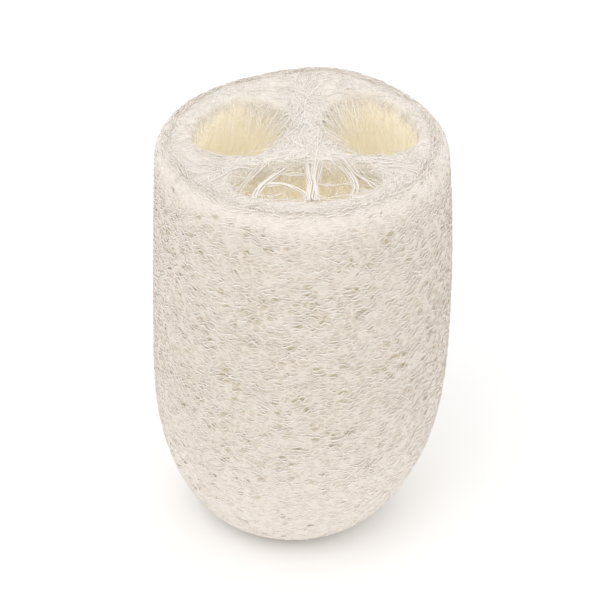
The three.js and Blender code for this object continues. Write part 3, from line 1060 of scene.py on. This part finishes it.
# %% A smooth way through some places
def curve(places, points):
    """Places evenly along a smooth curve through the given ones."""
    places = np.asarray(places, float)
    padded = np.concatenate([[2 * places[0] - places[1]], places, [2 * places[-1] - places[-2]]])
    at = np.linspace(0, len(places) - 1 - 1e-6, points)
    k, t = at.astype(int), (at % 1)[:, None]
    a, b, c, d = (padded[k + j] for j in range(4))
    return 0.5 * (2 * b + (c - a) * t + (2 * a - 5 * b + 4 * c - d) * t**2 + (3 * b - a - 3 * c + d) * t**3)


def bundle(places, seed, fibres, width, height, radius, points=26, spread=1.6):
    random = np.random.default_rng(seed)
    each = (fibres, 1)
    middle = curve(places, points)
    across = np.cross(np.gradient(middle, axis=0), UP)
    across /= np.linalg.norm(across, axis=-1, keepdims=True)
    share = np.linspace(0, 1, points)
    rooted = 1 + spread * (2 * np.abs(share - 0.5)) ** 3

    def wavering():
        return 0.2 * np.sin(share * random.uniform(4, 12, each) + random.uniform(0, 6, each))

    sway = random.uniform(-0.5, 0.5, each) * width * rooted + wavering()
    rise = random.uniform(-0.5, 0.5, each) * height + wavering()
    placed = middle[None] + across[None] * sway[..., None] + rise[..., None] * UP
    thinned = 0.6 + 0.4 * smooth(0.5 - np.abs(share - 0.5), 0, 0.15)
    thick = radius * random.uniform(0.65, 1.3, each) * thinned
    return Batch(placed, UP, thick, random.uniform(0.2, 1, each), 0.0, 4)


def frayed(places, seed, count=14, points=6, radius=0.09):
    """Fine fibres that part from a bundle and stand out beside it."""
    random = np.random.default_rng(seed)
    each = (count, 1)
    middle = curve(places, 60)
    start = random.integers(4, 56, count)
    along = np.gradient(middle, axis=0)[start]
    heading = np.arctan2(along[:, 1], along[:, 0]) + random.normal(0, 0.5, count)
    x, y = walked(random, *middle[start, :2].T, heading, points, 0.55, 0.18)
    share = np.linspace(0, 1, points)[None]
    z = middle[start, 2][:, None] + random.uniform(-0.5, 0.5, each)
    z = z + random.normal(0, 0.5, each) * share
    thick = radius * random.uniform(0.6, 1.4, each) * (1 - 0.6 * share)
    # Frayed fibres get a little painted warm shade
    return Batch(np.stack([x, y, z], -1), UP, thick, random.uniform(0.3, 1, each), 0.1, 3)


print("top of a small arch:", np.round(curve([(0, 0, 0), (1, 0, 1), (2, 0, 0)], 3)[1], 2))

# %% Routes over the mouth
MOUTH_LEVEL = HEIGHT - 4.0
MOUTH = {
    "web": ([(-1.3, 0.13), (-0.6, 0.1), (-0.2, 0.09), (0.5, 0.06), (1.2, 0.05)], 26, 2.8, 1.6, 0.2),
    "left_arc": ([(-1.3, 0.05), (-0.92, -0.33), (-0.29, -0.6), (0.31, -0.72), (1.2, -0.75)],
                 9, 1.3, 1.2, 0.2),
    "right_arc": ([(-1.3, 0.34), (-0.8, 0.57), (-0.14, 0.66), (0.45, 0.6), (1.2, 0.55)], 8, 1.2, 1.2, 0.2),
    "right_edge": ([(-1.1, 0.6), (-0.6, 0.74), (-0.21, 0.88), (0.47, 1.05)], 8, 1.6, 1.0, 0.18),
    "left_edge": ([(-1.1, -0.5), (-0.5, -0.8), (0.1, -0.95), (0.5, -0.98)], 7, 1.6, 1.0, 0.18),
    "left_arch": ([(-0.4, -0.66), (-0.38, -0.33), (-0.15, -0.16), (0.24, -0.04), (0.8, 0.02)],
                  4, 0.7, 0.7, 0.18),
    "front_band": ([(0.3, -0.85), (0.8, -0.5), (0.98, 0.0), (0.86, 0.3), (0.62, 0.6), (0.3, 1.0)],
                   9, 1.6, 1, 0.18),
    "left_tie": ([(0.2, -0.75), (0.22, -0.5), (0.05, -0.3)], 2, 0.6, 0.6, 0.14),
    "left_low_tie": ([(0.5, -0.72), (0.42, -0.4), (0.6, -0.1)], 3, 0.7, 0.8, 0.14),
    "top_tie": ([(-0.85, -0.4), (-0.7, -0.2), (-0.75, 0.1)], 3, 0.7, 0.8, 0.14),
    "right_tie": ([(-0.3, 0.08), (-0.22, 0.35), (-0.3, 0.66)], 2, 0.5, 0.6, 0.14),
    "right_low_tie": ([(0.3, 0.08), (0.45, 0.3), (0.3, 0.6)], 2, 0.6, 0.6, 0.13),
    "right_small_tie": ([(-0.1, 0.62), (0.1, 0.78), (0.05, 0.98)], 3, 0.6, 0.6, 0.14),
}
print("routes:", ", ".join(MOUTH))


# %% Mouth strands
def mouth_route(shares, seed):
    random = np.random.default_rng(seed)
    places = []
    for out, across in shares:
        x, y, _ = in_chamber("front", out, across, HEIGHT - RIM_EDGE)
        plan = np.array([x - AXIS[0] - axis_x(HEIGHT)]), np.array([y - AXIS[1]])
        rooted = float(smooth(math.hypot(out, across * 0.8), 0.75, 1.25))
        z = MOUTH_LEVEL + 0.5 * random.uniform(-1, 1)
        places.append([x, y, z + (float(on_cut(*plan, -0.2)[0][0, 2]) - z) * rooted])
    return places


mouth = []
for number, (shares, *sizes) in enumerate(MOUTH.values()):
    route = mouth_route(shares, 800 + number)
    mouth += [bundle(route, 850 + number, *sizes), frayed(route, 880 + number)]
sheaf("mouth_strands", mouth, CUT_FIBRE)

# %% [markdown]
# ## Felt under the tip
# The tip is hidden when the sponge stands, but it is finished like the rest: short fibres matted flat on
# it. They lie just above the surface that the sponge stands on.

# %% Tip felt
def tip_felt(seed, count, points=7, radius=0.17):
    random = np.random.default_rng(seed)
    far = (WALL_FOOT + 1) * np.sqrt(random.uniform(0, 1, count))
    angle = random.uniform(0, 2 * math.pi, count)
    heading = random.uniform(0, 2 * math.pi, count)
    x, y = walked(random, far * np.cos(angle), far * np.sin(angle), heading, points, 1.0, 0.25)
    edge = np.clip(np.hypot(x, y) - WALL_FOOT, 0, TIP_EDGE * 0.9)
    z = 0.25 + 0.2 * random.uniform(0, 1, (count, 1)) + TIP_EDGE - np.sqrt(TIP_EDGE**2 - edge**2)
    placed = np.stack([AXIS[0] + axis_x(0.0) + x, AXIS[1] + y, z], -1)
    thick = radius * random.uniform(0.7, 1.2, (count, 1))
    # The tip felt gets a little painted warm shade
    return Batch(placed, -UP, thick, random.uniform(0, 1, (count, 1)), 0.1, 3)


sheaf("tip_felt", [tip_felt(901, 700)], OUTER_FIBRE)

# %% [markdown]
# ## Floor, light and view
# The photograph is a bright product picture: soft light from all sides on white, a little more from above.
# A pale floor, a white world and four large soft lamps do the same. The plain Standard view keeps white
# things white.

# %% Stage
FLOOR_SIZE = 6.0
bpy.ops.mesh.primitive_plane_add(size=FLOOR_SIZE, location=(0, 0, 0))
floor = bpy.context.object
floor.name = "floor"
paper = Finish("pale_paper")
floor.data.materials.append(paper.surface(Base_Color=(0.97, 0.97, 0.97, 1), Roughness=0.95))
floor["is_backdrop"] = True

world = bpy.data.worlds.new("soft_room")
bpy.context.scene.world = world
world.use_nodes = True
world.node_tree.nodes["Background"].inputs[0].default_value = (1, 0.995, 0.985, 1)
world.node_tree.nodes["Background"].inputs[1].default_value = 0.97


def lamp(name, place, size, watts):
    made = bpy.data.objects.new(name, bpy.data.lights.new(name, "AREA"))
    bpy.context.collection.objects.link(made)
    made.data.size, made.data.energy = size, watts
    made.location = place
    made.rotation_euler = (Vector((0, 0, 0.06)) - Vector(place)).to_track_quat("-Z", "Y").to_euler()


lamp("key_lamp", (-0.45, -0.6, 1.25), 0.9, 3.6)
lamp("fill_lamp", (0.9, -0.7, 0.7), 0.9, 1.0)
lamp("back_lamp", (0.2, 0.95, 0.9), 0.9, 1.2)
lamp("low_lamp", (-0.1, -0.9, 0.12), 0.6, 1.1)
bpy.context.scene.view_settings.view_transform = "Standard"
print("stage ready")

# %% Sizes and finish
sizes = {"cad": [list(corner) for corner in CAD_BOX], "visual": [list(corner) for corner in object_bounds()]}
print("sizes:", sizes)
